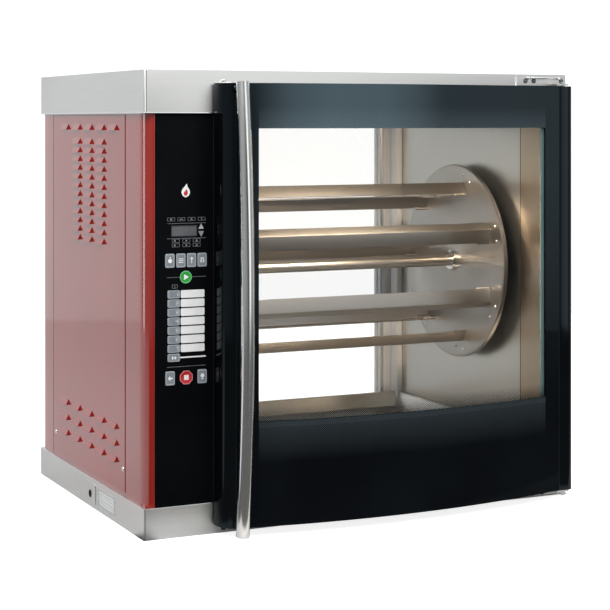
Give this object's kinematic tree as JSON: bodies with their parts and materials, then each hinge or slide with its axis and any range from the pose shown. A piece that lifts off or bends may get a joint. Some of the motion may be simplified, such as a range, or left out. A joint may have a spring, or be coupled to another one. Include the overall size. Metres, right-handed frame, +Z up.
{
  "type": "rotisserie oven",
  "caption": "Countertop rotisserie oven with a curved glass front door, flat glass rear door, spit rotor, stainless lid and base, red sides and a side keypad.",
  "frame": {"origin": "middle of the bounding box in X and Y, on the surface the base stands on", "axes": "+X towards the hinge side of the front door (right, seen from the front), +Y towards the rear door, +Z up"},
  "size_m": [1.0018, 0.9362, 0.938],
  "materials": {
    "casing_steel": "brushed stainless sheet",
    "cavity_steel": "satin stainless, lightly heat tinted",
    "rotor_steel": "bright satin stainless",
    "handle_steel": "polished stainless tube",
    "red_paint": "gloss red powder coat",
    "gloss_black": "deep gloss black",
    "black_enamel": "black enamel",
    "door_glass": "curved toughened glass with a printed black border",
    "rear_glass": "flat toughened glass",
    "lamp_glass": "frosted lamp cover",
    "seal_rubber": "matte silicone seal",
    "display_grey": "dark grey display window",
    "key_grey": "light grey key cap",
    "key_green": "green key cap",
    "key_red": "red key cap",
    "circuit_board": "solder-masked board",
    "cast_housing": "painted casting",
    "bearing_brass": "machined bronze",
    "element_sheath": "dark oxidised heating tube sheath"
  },
  "bodies": {
    "oven": {"base_frame": "casing_steel", "top_cover": "casing_steel", "left_side_panel": "red_paint", "service_panel": "red_paint", "right_side_panel": "red_paint", "rear_panel": "casing_steel", "access_plate": "casing_steel", "front_frame": "black_enamel", "front_gasket": "seal_rubber", "cavity_liner": "cavity_steel", "control_fascia": "gloss_black", "display_lens": "display_grey", "control_board": "circuit_board", "hinge_bracket_top": "casing_steel", "hinge_bracket_bottom": "casing_steel", "rear_hinge_top": "casing_steel", "rear_hinge_bottom": "casing_steel", "gearmotor": "cast_housing", "bearing_drive": "bearing_brass", "bearing_idle": "bearing_brass", "heating_element": "element_sheath", "lamp_lens": "lamp_glass", "drip_pan": "cavity_steel"},
    "front_door": {"door_glass": "door_glass", "door_left_stile": "gloss_black", "door_right_stile": "gloss_black", "door_top_rail": "black_enamel", "door_bottom_rail": "black_enamel", "door_handle": "handle_steel"},
    "rear_door": {"rear_door_frame": "black_enamel", "rear_door_glass": "rear_glass", "rear_door_handle": "handle_steel"},
    "rotor": {"rotor_disc_left": "rotor_steel", "rotor_disc_right": "rotor_steel", "rotor_shaft": "rotor_steel", "spit_1": "rotor_steel", "spit_2": "rotor_steel", "spit_3": "rotor_steel", "spit_4": "rotor_steel", "spit_5": "rotor_steel", "spit_6": "rotor_steel", "spit_7": "rotor_steel"},
    "key_mode_1": {"key_mode_1": "key_grey"},
    "key_mode_2": {"key_mode_2": "key_grey"},
    "key_mode_3": {"key_mode_3": "key_grey"},
    "key_mode_4": {"key_mode_4": "key_grey"},
    "key_up": {"key_up": "key_grey"},
    "key_down": {"key_down": "key_grey"},
    "key_start": {"key_start": "key_green"},
    "key_preset_1": {"key_preset_1": "key_grey"},
    "key_preset_2": {"key_preset_2": "key_grey"},
    "key_preset_3": {"key_preset_3": "key_grey"},
    "key_preset_4": {"key_preset_4": "key_grey"},
    "key_preset_5": {"key_preset_5": "key_grey"},
    "key_preset_6": {"key_preset_6": "key_grey"},
    "key_preset_7": {"key_preset_7": "key_grey"},
    "key_next": {"key_next": "key_grey"},
    "key_back": {"key_back": "key_grey"},
    "key_stop": {"key_stop": "key_red"},
    "key_light": {"key_light": "key_grey"}
  },
  "joints": [
    {"name": "front_door_hinge", "type": "hinge", "parent": "oven", "child": "front_door", "pos_m": [0.4779, -0.36365, 0.465], "axis": [0, 0, 1], "range_deg": [0, 120]},
    {"name": "rear_door_hinge", "type": "hinge", "parent": "oven", "child": "rear_door", "pos_m": [0.4629, 0.39585, 0.47], "axis": [0, 0, -1], "range_deg": [0, 110]},
    {"name": "rotor_spin", "type": "hinge", "parent": "oven", "child": "rotor", "pos_m": [0.0629, 0.00585, 0.5], "axis": [1, 0, 0], "continuous": true},
    {"name": "key_mode_1_press", "type": "slide", "parent": "oven", "child": "key_mode_1", "axis": [0, 1, 0], "range_m": [0, 0.0008], "stiffness_N_per_m": 600},
    {"name": "key_mode_2_press", "type": "slide", "parent": "oven", "child": "key_mode_2", "axis": [0, 1, 0], "range_m": [0, 0.0008], "stiffness_N_per_m": 600},
    {"name": "key_mode_3_press", "type": "slide", "parent": "oven", "child": "key_mode_3", "axis": [0, 1, 0], "range_m": [0, 0.0008], "stiffness_N_per_m": 600},
    {"name": "key_mode_4_press", "type": "slide", "parent": "oven", "child": "key_mode_4", "axis": [0, 1, 0], "range_m": [0, 0.0008], "stiffness_N_per_m": 600},
    {"name": "key_up_press", "type": "slide", "parent": "oven", "child": "key_up", "axis": [0, 1, 0], "range_m": [0, 0.0008], "stiffness_N_per_m": 600},
    {"name": "key_down_press", "type": "slide", "parent": "oven", "child": "key_down", "axis": [0, 1, 0], "range_m": [0, 0.0008], "stiffness_N_per_m": 600},
    {"name": "key_start_press", "type": "slide", "parent": "oven", "child": "key_start", "axis": [0, 1, 0], "range_m": [0, 0.0008], "stiffness_N_per_m": 600},
    {"name": "key_preset_1_press", "type": "slide", "parent": "oven", "child": "key_preset_1", "axis": [0, 1, 0], "range_m": [0, 0.0008], "stiffness_N_per_m": 600},
    {"name": "key_preset_2_press", "type": "slide", "parent": "oven", "child": "key_preset_2", "axis": [0, 1, 0], "range_m": [0, 0.0008], "stiffness_N_per_m": 600},
    {"name": "key_preset_3_press", "type": "slide", "parent": "oven", "child": "key_preset_3", "axis": [0, 1, 0], "range_m": [0, 0.0008], "stiffness_N_per_m": 600},
    {"name": "key_preset_4_press", "type": "slide", "parent": "oven", "child": "key_preset_4", "axis": [0, 1, 0], "range_m": [0, 0.0008], "stiffness_N_per_m": 600},
    {"name": "key_preset_5_press", "type": "slide", "parent": "oven", "child": "key_preset_5", "axis": [0, 1, 0], "range_m": [0, 0.0008], "stiffness_N_per_m": 600},
    {"name": "key_preset_6_press", "type": "slide", "parent": "oven", "child": "key_preset_6", "axis": [0, 1, 0], "range_m": [0, 0.0008], "stiffness_N_per_m": 600},
    {"name": "key_preset_7_press", "type": "slide", "parent": "oven", "child": "key_preset_7", "axis": [0, 1, 0], "range_m": [0, 0.0008], "stiffness_N_per_m": 600},
    {"name": "key_next_press", "type": "slide", "parent": "oven", "child": "key_next", "axis": [0, 1, 0], "range_m": [0, 0.0008], "stiffness_N_per_m": 600},
    {"name": "key_back_press", "type": "slide", "parent": "oven", "child": "key_back", "axis": [0, 1, 0], "range_m": [0, 0.0008], "stiffness_N_per_m": 600},
    {"name": "key_stop_press", "type": "slide", "parent": "oven", "child": "key_stop", "axis": [0, 1, 0], "range_m": [0, 0.0008], "stiffness_N_per_m": 600},
    {"name": "key_light_press", "type": "slide", "parent": "oven", "child": "key_light", "axis": [0, 1, 0], "range_m": [0, 0.0008], "stiffness_N_per_m": 600}
  ]
}
